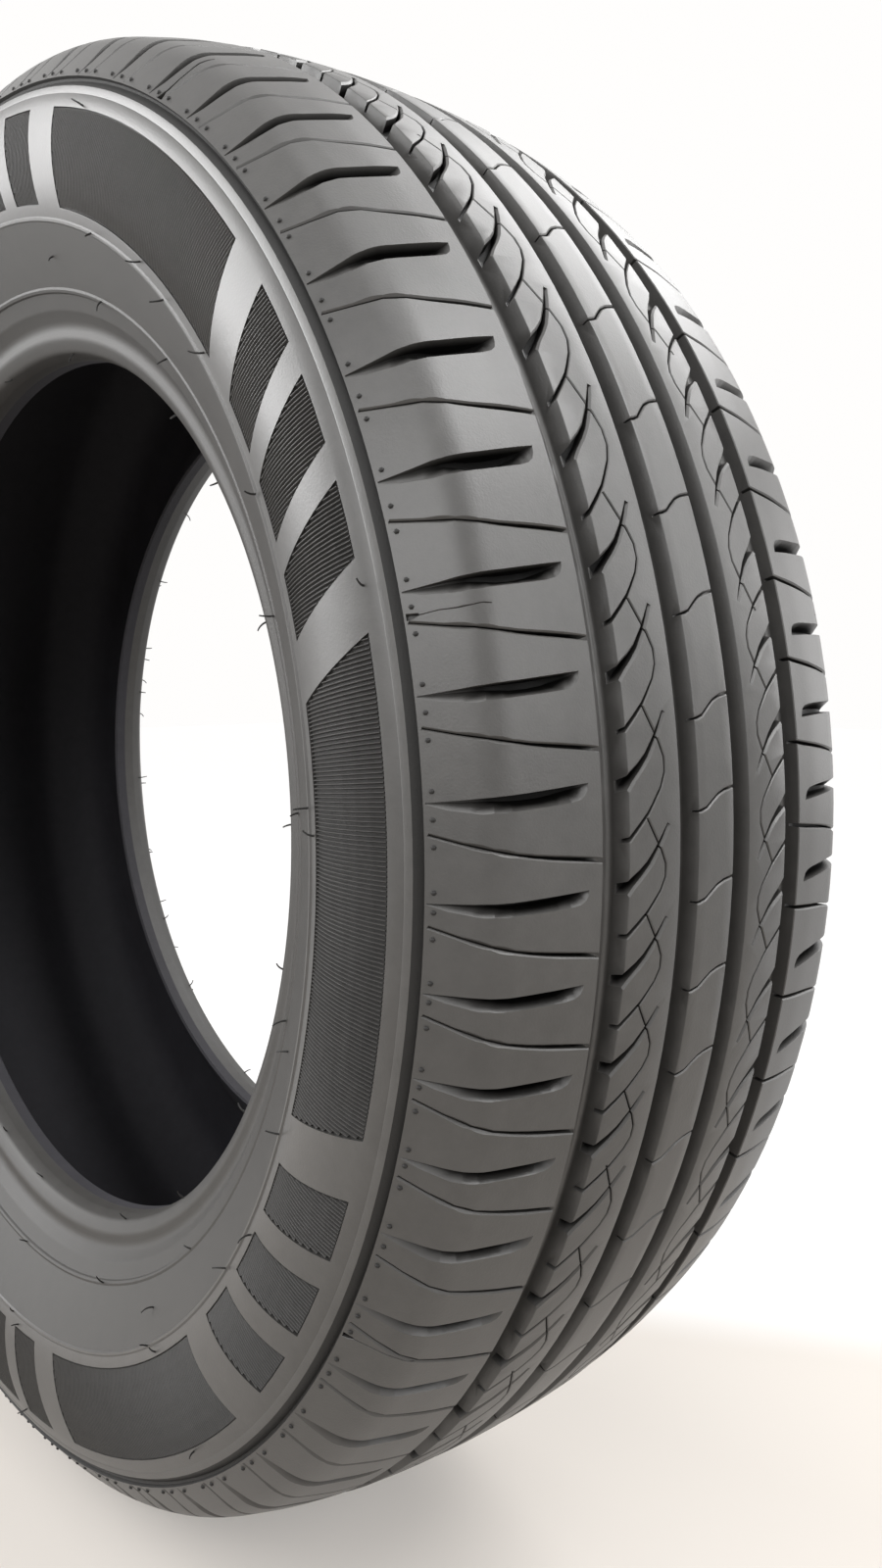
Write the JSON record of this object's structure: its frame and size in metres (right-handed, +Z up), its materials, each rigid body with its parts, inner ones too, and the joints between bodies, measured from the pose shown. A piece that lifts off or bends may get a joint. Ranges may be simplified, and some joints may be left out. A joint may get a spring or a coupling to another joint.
{
  "type": "car tyre",
  "caption": "Radial car tyre moulded in one piece, with ring grooves and shoulder slots in its tread, open between its beads to fit a drop-centre rim.",
  "frame": {"origin": "the wheel's centre: on the tyre's axis, midway between the two beads", "axes": "+Y along the axis that the tyre spins about, +Z up; the tyre stands on its tread"},
  "size_m": [0.6345, 0.201, 0.6344],
  "materials": {
    "tyre_rubber": "matte"
  },
  "bodies": {
    "root": {"tyre": "tyre_rubber"}
  },
  "joints": []
}
